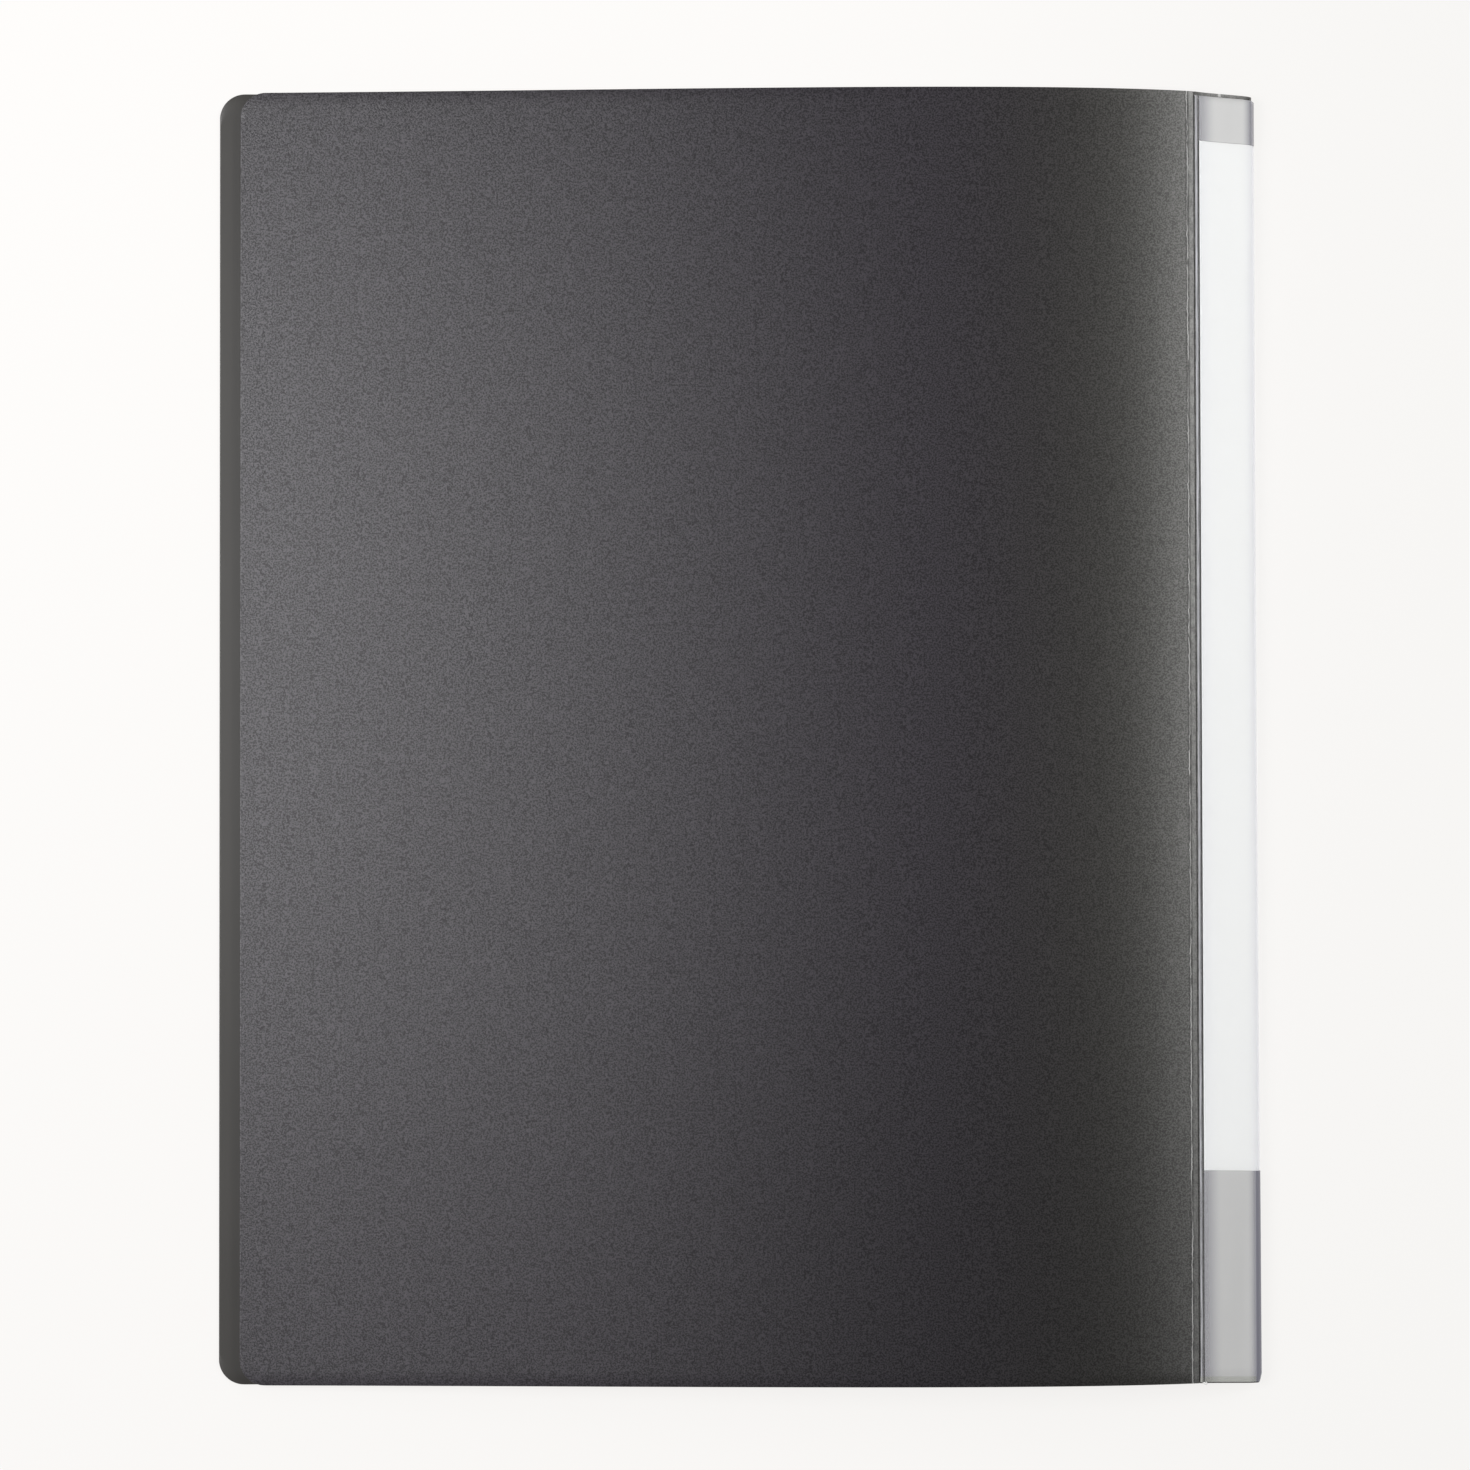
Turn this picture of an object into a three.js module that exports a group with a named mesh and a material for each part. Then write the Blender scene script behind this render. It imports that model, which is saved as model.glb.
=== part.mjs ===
// A display book (clear-pocket file) lying closed on its front cover, back cover up and spine to the right.
// Millimetres. +X runs from the fore edge to the spine, +Y along the spine to the top of the book, +Z up.
import * as THREE from "three";

// The plastic sheet that the two covers and the spine are cut from
const bookHeight = 307; // along the spine
const coverWidth = 226; // fore edge to crease, the same on both covers
const sheet = 0.7;
const cornerRadius = 6; // fore-edge corners only
const hingeStrip = 1.9; // between the two score lines beside each cover
const creaseGap = 0.3; // slit that stands for each live hinge
const axisOffset = 0.2; // each cover turns about a line this far outside the outer faces

// How the closed book lies: the spine slants down to a blunt nose, and the back cover arches over the pockets
const creaseLead = 4.2; // the back crease lies this much nearer the spine than the front one
const creaseHeight = 9; // middle of the sheet at the back crease, above the table
const foreDip = 0.5; // the back cover's fore edge hangs this far below the top of the pockets' free edge
const foreLift = 6; // how steeply the back cover climbs from its fore edge
const foreShare = 0.44; // share of its width over which it climbs
const bellyLift = 12.5; // how far it swells above the crease before it comes down
const bellyShare = 0.19; // share of its width over which it swells
const stripDrop = 0.6; // the back score line lies this far below the back crease
const spineReach = 14.3; // middle of the sheet at the nose, past the back score line
const noseHeight = 2.6; // middle of the sheet at the nose, above the table
const noseAbove = 2.2; // how bluntly the nose turns into the slant above it
const noseBelow = 1.3; // how bluntly it turns under
const slantRun = 5; // the upper side of the spine leaves its score line in this direction
const slantDrop = 3;
const underRun = 15; // how far the under side of the spine lies level

// The clear pocket welded on the outside of the spine, and the card in it
const film = 0.12;
const filmWeld = 0.4; // flat welded margin along each score line
const filmRise = 0.6; // width over which the film climbs from its weld to clear the card
const filmTopInset = 0.9; // bare spine at the top end
const filmBottomInset = 0.3; // bare spine at the bottom end
const card = 0.2;
const cardTopInset = 11.7; // top of the book to the top of the card
const cardHeight = 245;
const cardSideGap = 0.3; // card edge to the climbing film

// The stack of clear pockets inside
const pocketStack = 1.2; // thickness of the stack at its free edge
const pocketHeight = 302;
const pocketSetback = 8.5; // free edge behind the back cover's fore edge
const pocketRoot = 1; // thickness of the stack where it is welded to the spine
const rootTaper = 20; // the stack starts to close this far before the creases
const rootGap = 3; // edge of the root to the inside of the nose

const rest = 0.25; // clearance between pieces that lie on each other
const layerGap = 0.15; // clearance between the spine, the card and the film

const coverColor = 0x2b2a2c;
const filmColor = 0xdfe1e6;
const cardColor = 0xf2f4f4;
const pocketColor = 0xd9dbe0;
const coverSteps = 36;
const spineSteps = 72;
const stripSteps = 2;
const cornerSteps = 8;
const rootSteps = 10;

const xz = (x, z) => new THREE.Vector2(x, z);
const topHalf = bookHeight / 2;

// Points spaced along a curve of the XZ profile, from one distance along it to another
function sample(curve, from, to, steps) {
  const length = curve.getLength();
  const points = [];
  for (let i = 0; i <= steps; i += 1) {
    points.push(curve.getPointAt((from + ((to - from) * i) / steps) / length));
  }
  return points;
}

// The unit normals of a profile, to the left of its direction of travel
function normalsOf(points) {
  return points.map((point, i) => {
    const before = points[Math.max(i - 1, 0)];
    const after = points[Math.min(i + 1, points.length - 1)];
    const along = after.clone().sub(before).normalize();
    return xz(-along.y, along.x);
  });
}

// The distance of each point along its profile
function distancesOf(points) {
  const distances = [0];
  for (let i = 1; i < points.length; i += 1) {
    distances.push(distances[i - 1] + points[i].distanceTo(points[i - 1]));
  }
  return distances;
}

// Moves a profile sideways, by a number or by a function of the distance along it
function offset(points, by) {
  const normals = normalsOf(points);
  const distances = distancesOf(points);
  return points.map((point, i) => {
    const d = typeof by === "function" ? by(distances[i], distances.at(-1)) : by;
    return point.clone().addScaledVector(normals[i], d);
  });
}

// A closed body from rings of four corners each, in the order low-left, low-right, high-right, high-left
function loft(rings) {
  const positions = rings.flat(2);
  const index = [];
  const quad = (a, b, c, d) => index.push(a, b, c, a, c, d);
  for (let i = 0; i + 1 < rings.length; i += 1) {
    const near = i * 4;
    const far = near + 4;
    for (let k = 0; k < 4; k += 1) {
      const next = (k + 1) % 4;
      quad(near + k, near + next, far + next, far + k);
    }
  }
  const last = (rings.length - 1) * 4;
  quad(3, 2, 1, 0);
  quad(last, last + 1, last + 2, last + 3);
  const geometry = new THREE.BufferGeometry();
  geometry.setAttribute("position", new THREE.Float32BufferAttribute(positions, 3));
  geometry.setIndex(index);
  geometry.computeVertexNormals();
  return geometry;
}

// A bent sheet: the profile is its middle, and ends(distance, length) gives its lowest and highest Y there
function bentSheet(points, thickness, ends) {
  const normals = normalsOf(points);
  const distances = distancesOf(points);
  const rings = points.map((point, i) => {
    const [low, high] = ends(distances[i], distances.at(-1));
    const under = point.clone().addScaledVector(normals[i], -thickness / 2);
    const over = point.clone().addScaledVector(normals[i], thickness / 2);
    return [
      [under.x, low, under.y],
      [under.x, high, under.y],
      [over.x, high, over.y],
      [over.x, low, over.y],
    ];
  });
  return loft(rings);
}

// How much a rounded corner takes off the end of a sheet at a distance from its edge
function cornerCut(distance, radius) {
  if (distance >= radius) return 0;
  return radius - Math.sqrt(Math.max(radius ** 2 - (radius - distance) ** 2, 0));
}

// Distances that step finely through a corner and evenly over the rest
function stationsOf(length, radius, steps) {
  const corner = Array.from({ length: cornerSteps }, (_, i) => {
    return radius * (1 - Math.cos((Math.PI / 2) * (i / cornerSteps)));
  });
  const straight = Array.from({ length: steps + 1 }, (_, i) => {
    return radius + ((length - radius) * i) / steps;
  });
  return corner.concat(straight);
}

function mesh(name, geometry, color, roughness, more = {}) {
  const material = new THREE.MeshStandardMaterial({ color, roughness, metalness: 0, ...more });
  const made = new THREE.Mesh(geometry, material);
  made.name = name;
  return made;
}

// The two outer creases, where the covers turn, on the middle of the sheet
const frontCrease = xz(coverWidth, sheet / 2);
const backCrease = xz(coverWidth + creaseLead, creaseHeight);

// Middle of the sheet at the back cover's fore edge, over the front cover and the stack
const foreHeight = sheet * 1.5 + rest * 2 + pocketStack - foreDip;

// The back cover's middle line runs from its crease back towards the fore edge
const foreEdge = xz(backCrease.x - coverWidth, foreHeight);
const backCurve = new THREE.CubicBezierCurve(
  backCrease,
  backCrease.clone().add(xz(-bellyShare * coverWidth, bellyLift)),
  foreEdge.clone().add(xz(foreShare * coverWidth, foreLift)),
  foreEdge,
);
const backLength = backCurve.getLength();

// The spine's middle line: a strip, the folded panel, a strip
const filmStack = sheet / 2 + layerGap * 2 + card + film; // middle of the spine to the outside of the film
const frontScore = frontCrease.clone().add(xz(hingeStrip, filmStack - sheet / 2 + layerGap));
const backScore = backCrease.clone().add(xz(hingeStrip, -stripDrop));
const nose = xz(backScore.x + spineReach, noseHeight);

// The under side runs level to the nose, and the upper side slants down to it
const spineCurve = new THREE.CurvePath();
spineCurve.add(new THREE.CubicBezierCurve(
  frontScore,
  frontScore.clone().add(xz(underRun, 0)),
  nose.clone().add(xz(0, -noseBelow)),
  nose,
));
spineCurve.add(new THREE.CubicBezierCurve(
  nose,
  nose.clone().add(xz(0, noseAbove)),
  backScore.clone().add(xz(slantRun, -slantDrop)),
  backScore,
));
const panelLength = spineCurve.getLength();
const panelPoints = sample(spineCurve, 0, panelLength, spineSteps);

// Points from the slit at a crease to a score line, without the last one
function stripPoints(crease, score) {
  const along = score.clone().sub(crease).normalize();
  const start = crease.clone().addScaledVector(along, creaseGap / 2);
  return Array.from({ length: stripSteps }, (_, i) => start.clone().lerp(score, i / stripSteps));
}

function frontCover() {
  const length = coverWidth - creaseGap / 2;
  const points = stationsOf(length, cornerRadius, 2).map((d) => xz(d, sheet / 2));
  return bentSheet(points, sheet, (d) => {
    const half = topHalf - cornerCut(d, cornerRadius);
    return [-half, half];
  });
}

function backCover() {
  const points = stationsOf(coverWidth, cornerRadius, coverSteps).map((d) => {
    const fromCrease = Math.max(coverWidth - d, creaseGap / 2);
    return backCurve.getPointAt(fromCrease / backLength);
  });
  return bentSheet(points, sheet, (d) => {
    const half = topHalf - cornerCut(d, cornerRadius);
    return [-half, half];
  });
}

// The spine panel and its two hinge strips are one folded piece
function spinePanel() {
  const points = [
    ...stripPoints(frontCrease, frontScore),
    ...panelPoints,
    ...stripPoints(backCrease, backScore).reverse(),
  ].reverse();
  return bentSheet(points, sheet, () => [-topHalf, topHalf]);
}

// Distance from the middle of the spine to the middle of the film: low along the welds, over the card between them
function filmHeight(distance, length) {
  const inside = Math.min(distance, length - distance);
  const welded = sheet / 2 + layerGap + film / 2;
  const raised = filmStack - film / 2;
  const rise = THREE.MathUtils.smoothstep(inside, filmWeld, filmWeld + filmRise);
  return THREE.MathUtils.lerp(welded, raised, rise);
}

function spineFilm() {
  const outward = panelPoints.slice().reverse();
  const points = offset(outward, filmHeight);
  return bentSheet(points, film, () => [-topHalf + filmBottomInset, topHalf - filmTopInset]);
}

function labelCard() {
  const inset = filmWeld + filmRise + cardSideGap;
  const middle = sample(spineCurve, inset, panelLength - inset, spineSteps).reverse();
  const points = offset(middle, sheet / 2 + layerGap + card / 2);
  const top = topHalf - cardTopInset;
  return bentSheet(points, card, () => [top - cardHeight, top]);
}

// The pockets lie between the covers and close to a root inside the spine
function pocketBlock() {
  const under = sheet / 2 + rest;
  const foreX = backCurve.getPointAt(coverWidth / backLength).x + pocketSetback;
  const along = stationsOf(backLength, 0, coverSteps)
    .map((d) => backCurve.getPointAt(d / backLength))
    .filter((p) => p.x > foreX && p.x < backCrease.x - rootTaper);
  const roof = offset(along, under);
  const rootX = nose.x - sheet / 2 - rootGap;
  const rootLow = nose.y - pocketRoot / 2;
  const rootHigh = nose.y + pocketRoot / 2;
  const floor = sheet + rest;
  const outline = new THREE.Shape();
  outline.moveTo(foreX, floor);
  outline.lineTo(frontCrease.x - rootTaper, floor);
  outline.quadraticCurveTo(frontCrease.x - rootTaper / 2, floor, frontCrease.x, rootLow);
  outline.lineTo(rootX, rootLow);
  outline.lineTo(rootX, rootHigh);
  outline.quadraticCurveTo(backCrease.x, rootHigh, roof[0].x, roof[0].y);
  roof.slice(1).forEach((p) => outline.lineTo(p.x, p.y));
  outline.lineTo(foreX, floor + pocketStack);
  const options = { depth: pocketHeight, bevelEnabled: false, curveSegments: rootSteps };
  const geometry = new THREE.ExtrudeGeometry(outline, options);
  geometry.rotateX(Math.PI / 2);
  geometry.translate(0, pocketHeight / 2, 0);
  return geometry;
}

// A cover in a group of its own, which stands on the line that the cover turns about.
// outside is 1 where the outer face is the upper one, and -1 where it is the lower one.
function leaf(cover, crease, coverAlong, score, outside) {
  const stripAlong = score.clone().sub(crease).normalize();
  const across = coverAlong.clone().normalize().add(stripAlong).normalize();
  const outward = xz(-across.y, across.x).multiplyScalar(outside);
  const axis = crease.clone().addScaledVector(outward, sheet / 2 + axisOffset);
  const group = new THREE.Group();
  group.name = `${cover.name}_hinge`;
  group.position.set(axis.x, 0, axis.y);
  cover.position.set(-axis.x, 0, -axis.y);
  group.add(cover);
  return group;
}

const clear = { transparent: true, opacity: 0.35 };
const book = new THREE.Group();
const front = mesh("front_cover", frontCover(), coverColor, 0.55);
const back = mesh("back_cover", backCover(), coverColor, 0.55);
const backAlong = backCurve.getTangent(0).negate();
book.add(leaf(front, frontCrease, xz(1, 0), frontScore, -1));
book.add(leaf(back, backCrease, backAlong, backScore, 1));
const spine = new THREE.Group();
spine.add(mesh("spine_panel", spinePanel(), coverColor, 0.5));
spine.add(mesh("spine_film", spineFilm(), filmColor, 0.2, clear));
spine.add(mesh("label_card", labelCard(), cardColor, 0.7));
spine.add(mesh("pocket_block", pocketBlock(), pocketColor, 0.3));
book.add(spine);

// The origin is under the middle of the closed book
book.position.x = -(nose.x + filmStack) / 2;

export default book;
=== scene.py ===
"""Dresses a closed display book: grained covers, creases, the spine's clear pocket and card, the pockets."""
import math
from collections import namedtuple

import bmesh
import bpy
from bpy.props import FloatProperty, FloatVectorProperty, IntProperty, PointerProperty
from mathutils import Matrix, Vector, noise


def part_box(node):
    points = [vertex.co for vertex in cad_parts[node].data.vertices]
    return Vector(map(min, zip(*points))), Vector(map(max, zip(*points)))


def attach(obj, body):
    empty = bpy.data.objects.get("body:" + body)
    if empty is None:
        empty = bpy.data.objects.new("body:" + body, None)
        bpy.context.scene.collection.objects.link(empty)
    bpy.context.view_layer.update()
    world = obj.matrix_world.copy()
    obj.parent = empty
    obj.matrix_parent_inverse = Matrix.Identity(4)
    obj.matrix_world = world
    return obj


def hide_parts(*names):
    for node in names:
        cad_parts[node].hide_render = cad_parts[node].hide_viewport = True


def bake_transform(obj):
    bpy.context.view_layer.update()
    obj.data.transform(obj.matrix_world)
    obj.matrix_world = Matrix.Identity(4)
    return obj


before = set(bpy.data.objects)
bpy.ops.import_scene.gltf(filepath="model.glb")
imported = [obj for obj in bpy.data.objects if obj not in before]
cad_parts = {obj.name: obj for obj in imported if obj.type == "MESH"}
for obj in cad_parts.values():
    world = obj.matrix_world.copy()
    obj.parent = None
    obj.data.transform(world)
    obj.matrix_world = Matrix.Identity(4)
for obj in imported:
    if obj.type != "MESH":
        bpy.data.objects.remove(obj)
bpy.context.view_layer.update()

bl_info = {
    "name": "Display Book",
    "version": (1, 0, 0),
    "blender": (4, 5, 0),
    "location": "3D View > Sidebar > Display Book",
    "description": "Builds a closed display book with clear pockets around its packed frame",
    "category": "Object",
}

MM = 0.001
FRONT_LOW, FRONT_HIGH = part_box("front_cover")
FILM_LOW, FILM_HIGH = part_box("spine_film")
CARD_LOW, CARD_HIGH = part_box("label_card")
BLOCK_LOW, BLOCK_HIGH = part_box("pocket_block")
SHEET = FRONT_HIGH.z - FRONT_LOW.z
HALF_HEIGHT = FRONT_HIGH.y

# How finely the meshes are divided.
EDGE_STEPS = 4
CORNER_STEPS = 16
COVER_CURVE_STEPS = 240
SPINE_CURVE_STEPS = 60
COVER_ROWS = 110
COVER_COLUMNS = 90
SPINE_ROWS = 130
STRIP_STEPS = 4
GROOVE_ROWS = 14
HINGE_ROWS = 8
HINGE_COLUMNS = 150
FILM_ROWS = 100
FILM_EDGE_ROWS = 30
FILM_COLUMNS = 200
TORN_ROWS = 13
TORN_COLUMNS = 9
CARD_ROWS = 80
CARD_COLUMNS = 40
POCKET_ROWS = 80
POCKET_COLUMNS = 4
ROOF_STRIDE = 4
ROOT_STEPS = 20
SHARP_ANGLE = math.radians(50)
TINY = 1e-9

# Sockets of a Mix node that blends colours. Their names are those of its other kinds too.
MIX_FIRST, MIX_SECOND, MIX_RESULT = 6, 7, 2

# A line across a sheet: its point and normal in the XZ profile, its two ends along the book, and the
# distance over the sheet at which it lies.
Station = namedtuple("Station", "point normal low high distance")


def length(name, description, default):
    """A length property in metres."""
    return FloatProperty(name=name, description=description, default=default, unit="LENGTH", precision=5)


def colour(name, description, default):
    """A colour property."""
    return FloatVectorProperty(
        name=name, description=description, default=default, subtype="COLOR", min=0, max=1
    )


def share(name, description, default):
    """A property from 0 to 1."""
    return FloatProperty(name=name, description=description, default=default, min=0, max=1, subtype="FACTOR")


def amount(name, description, default, subtype):
    """A number of another kind, such as an angle or a power."""
    return FloatProperty(name=name, description=description, default=default, subtype=subtype)


def place(name, description, default, subtype="TRANSLATION"):
    """A point or a turn as three numbers."""
    return FloatVectorProperty(
        name=name, description=description, default=default, subtype=subtype, precision=5
    )


def area(name, description, default):
    """A width and a length in metres."""
    return FloatVectorProperty(name=name, description=description, default=default, size=2, unit="LENGTH")


class BookLie(bpy.types.PropertyGroup):
    """How the closed book lies."""
    crease_gap: length("Crease gap", "Slit that the live hinge fills", 0.3 * MM)
    hinge_strip: length("Hinge strip", "Width between the two score lines", 1.9 * MM)
    crease_lead: length("Crease lead", "How far the back crease lies nearer the spine", 4.2 * MM)
    crease_height: length("Crease height", "Middle of the sheet at the back crease", 9 * MM)
    fore_height: length("Fore height", "Middle of the sheet at the back cover's fore edge", 2.25 * MM)
    fore_lift: length("Fore lift", "How steeply the back cover climbs from its fore edge", 6 * MM)
    fore_share: share("Fore share", "Share of its width over which it climbs", 0.44)
    belly_lift: length("Belly lift", "How far the back cover swells above its crease", 12.5 * MM)
    belly_share: share("Belly share", "Share of its width over which it swells", 0.19)
    strip_drop: length("Strip drop", "How far the back score line lies below the back crease", 0.6 * MM)
    spine_reach: length("Spine reach", "Nose of the spine past the back score line", 14.3 * MM)
    nose_height: length("Nose height", "Middle of the sheet at the nose", 2.6 * MM)
    nose_above: length("Nose above", "How bluntly the nose turns into the slant above it", 2.2 * MM)
    nose_below: length("Nose below", "How bluntly it turns under", 1.3 * MM)
    slant_run: length("Slant run", "Level part of the direction in which the slant starts", 5 * MM)
    slant_drop: length("Slant drop", "Falling part of that direction", 3 * MM)
    under_run: length("Under run", "How far the under side of the spine lies level", 15 * MM)
    skew: length("Skew", "How far the nose has slipped towards the bottom of the book", 0.5 * MM)
    sag: length("Sag", "How much further the nose reaches at the bottom of the book", 0.4 * MM)
    layer_gap: length("Layer gap", "Air between the spine, the card and the film", 0.15 * MM)
    card: length("Card", "Thickness of the card", 0.2 * MM)
    film: length("Film", "Thickness of the film", 0.12 * MM)
    corner_radius: length("Corner radius", "Radius of the fore-edge corners", 6 * MM)


class CoverLook(bpy.types.PropertyGroup):
    """Finish of the plastic sheet."""
    outside: colour("Outside", "Grained outer face", (0.0180, 0.0150, 0.0205))
    spine_side: colour("Outside, spine side", "The outer face near the spine", (0.0185, 0.0175, 0.0150))
    inside: colour("Inside", "Smooth inner face", (0.032, 0.029, 0.026))
    whitened: colour("Whitened", "Plastic whitened by folding", (0.50, 0.50, 0.495))
    grain: length("Grain", "Size of the embossed grain", 0.4 * MM)
    grain_depth: length("Grain depth", "Depth of the embossed grain", 0.055 * MM)
    roughness: share("Roughness", "Roughness of the outer face", 0.37)
    wander_slow: length("Wander, slow", "How far the folded line strays over a long stretch", 0.7 * MM)
    wander_quick: length("Wander, quick", "How far it strays from one place to the next", 1.0 * MM)
    rippled: share("Rippled", "How whitened the ripples beside a crease are", 0.03)
    ripple_reach: length("Ripple reach", "How far from the crease they fade away", 9 * MM)
    stress_bottom: share("Stress, bottom", "How whitened a hinge strip is at the bottom of the book", 0.15)
    stress_top: share("Stress, top", "How whitened it is at the top", 0.31)
    scuffed: share("Scuffed", "How whitened the spine's top end is", 0.11)
    nicked: share("Nicked", "How whitened the nick in it is", 0.85)
    # Painted shade: the next three set a darker patch over the lower half of the grained face, growing
    # towards the spine.
    bottom_shade: share("Rubbed", "How dark the rubbed patch near the bottom gets", 0.45)
    bottom_shade_from: length("Rubbed from", "Where the rubbed patch starts", -60 * MM)
    bottom_shade_to: length("Rubbed to", "Where it is darkest", 50 * MM)
    smooth_from: length("Smooth from", "Where the grain starts to flatten towards the spine", 40 * MM)
    smooth_to: length("Smooth to", "Where the grain is flattest", 100 * MM)
    smoothed: share("Smoothed", "How much of the grain is flattened there", 0.6)
    edge_round: length("Edge round", "Rounding of the cut edges", 0.15 * MM)
    groove_depth: length("Groove depth", "Depth of the inner score line", 0.3 * MM)
    groove_width: length("Groove width", "Half width of the inner score line", 0.28 * MM)
    hinge_web: share("Hinge web", "Thickness of the live hinge, as a share of the sheet's", 0.62)
    nick_x: length("Nick", "Place of the nick in the spine's top end", 114.9 * MM)


class SpineLook(bpy.types.PropertyGroup):
    """Finish of the clear spine pocket and its card."""
    film: colour("Film", "Milky tint of the clear film", (0.90, 0.90, 0.905))
    # Painted shade tint, where the film turns down at the nose and beside the weld.
    film_shade: colour("Film shade", "Tint of the film where it turns away", (0.78, 0.78, 0.92))
    haze_top: share("Haze, top", "How much the film veils the top of the spine", 0.50)
    haze_bottom: share("Haze, bottom", "How much the film veils the bottom of the spine", 0.45)
    haze_card: share("Haze, card", "How much the film veils the card that it lies on", 0.10)
    # Painted reflection: how strongly the dark band at the nose shows.
    haze_rim: share("Haze, rim", "How much it veils the spine where it is seen edge on", 0.8)
    haze_selvedge: share("Haze, selvedge", "How much it veils the spine outside its weld", 0.2)
    clouding: share("Clouding", "How much the haze changes from place to place", 0.06)
    # Painted shade: the haze thins where the film turns down, so the black spine shows darker there.
    nose_shade: share("Clear nose", "How much of the haze is gone where the film turns down", 0.7)
    # Painted shade: the haze thins beside the weld, where the crease's shade falls on the film.
    weld_side_shade: share("Clear side", "How much of it is gone beside the weld", 0.45)
    clear_weld: share("Clear weld", "How much of it is gone in the weld", 0.98)
    clear_seal: share("Clear seal", "How much of it is gone at the bottom end", 0.12)
    glint_least: share("Glint, least", "Weakest light along the selvedge", 0.16)
    glint_most: share("Glint, most", "Strongest light along it", 0.40)
    glint_stray: length("Glint stray", "How far that light strays from a straight line", 0.8 * MM)
    card: colour("Card", "Plain card", (0.975, 0.985, 0.99))
    selvedge: length("Selvedge", "Width of the film outside its weld", 0.9 * MM)
    weld: length("Weld", "Width of the weld line", 0.34 * MM)
    climb: length("Climb", "Width over which the film rises from the weld onto the card", 0.32 * MM)
    card_inset: length("Card inset", "Score line to the card", 1.25 * MM)
    end_seal: length("End seal", "Length over which the film lies down at the bottom end", 1.4 * MM)
    top_seal: length("Top seal", "Length over which it lies down at the top end", 0.5 * MM)
    end_tint: colour("End tint", "Tint of the sealed bottom end", (0.84, 0.85, 0.815))
    # Painted reflection: the next five set the darker band where the film turns down at the nose, lighter at
    # the top of the book.
    rim_shade_top: colour("Rim, top", "Film seen edge on at the nose, at the top", (0.46, 0.45, 0.48))
    rim_shade_bottom: colour("Rim, bottom", "Film seen edge on at the nose, at the bottom", (0.225, 0.225, 0.275))
    rim_from: length("Rim from", "How far inside the nose the film is first seen edge on", 1.5 * MM)
    rim_to: length("Rim to", "How far inside the nose it is fully seen so", 0.9 * MM)
    rim_shift: length("Rim shift", "How much narrower that band is at the top", 0.6 * MM)
    turn_down: length("Turn-down", "How far inside the nose the film starts to turn down", 3.2 * MM)
    torn: colour("Torn film", "Tint of the torn bit of film", (0.95, 0.95, 0.95))
    torn_width: length("Torn width", "Width of the torn bit of film", 1.3 * MM)
    torn_radius: length("Torn radius", "Radius of its curl", 0.6 * MM)
    torn_turn: amount("Torn turn", "How far it curls", 2.2, "ANGLE")


class PocketLook(bpy.types.PropertyGroup):
    """The clear pockets."""
    pockets: IntProperty(name="Pockets", description="Pockets in the stack", default=20, min=4, max=40)
    thickness: length("Thickness", "Thickness of one pocket", 0.05 * MM)
    rest: length("Rest", "Air between the pockets and a cover", 0.25 * MM)
    root: length("Root", "Thickness of the stack where it is welded to the spine", 1 * MM)
    root_taper: length("Root taper", "How far before the creases the stack starts to close", 20 * MM)
    film: colour("Film", "Milky tint of the pockets", (0.62, 0.64, 0.67))


class StageLook(bpy.types.PropertyGroup):
    """Floor, light and camera."""
    floor_top: colour("Floor, far side", "Glow of the floor beyond the book's top", (0.872, 0.857, 0.842))
    floor_bottom: colour("Floor, near side", "Glow of the floor below the book", (0.844, 0.829, 0.814))
    floor_right: colour("Floor, right side", "Glow of the floor beside the spine", (0.825, 0.815, 0.80))
    floor_paint: colour("Floor paint", "What the floor scatters of the lamps", (0.11, 0.11, 0.11))
    ceiling: share("Ceiling", "Brightness of the room straight overhead", 0.07)
    walls: share("Walls", "Brightness of the room towards the horizon", 0.5)
    room_tint: colour("Room tint", "Colour of the room's light", (1, 0.995, 0.985))
    left_lamp: place("Left lamp", "Centre of the left softbox", (-0.87, 0.106, 1.0))
    left_size: area("Left size", "Width and length of the left softbox", (0.93, 0.49))
    left_power: amount("Left power", "Power of the left softbox", 14.5, "POWER")
    right_lamp: place("Right lamp", "Centre of the right softbox", (1.06, 0.526, 1.0))
    right_size: area("Right size", "Width and length of the right softbox", (0.655, 1.39))
    right_power: amount("Right power", "Power of the right softbox", 14.2, "POWER")
    right_tint: colour("Right tint", "Colour of the right softbox", (1.0, 1.0, 0.98))
    focal: amount("Focal length", "Camera lens", 112.93, "DISTANCE_CAMERA")
    eye: place("Eye", "Camera place", (-0.0319, -0.02889, 1.1))
    turn: place("Turn", "Camera turn about X, Y and Z", (-0.02657, 0.02807, 0.00133), "EULER")


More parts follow.
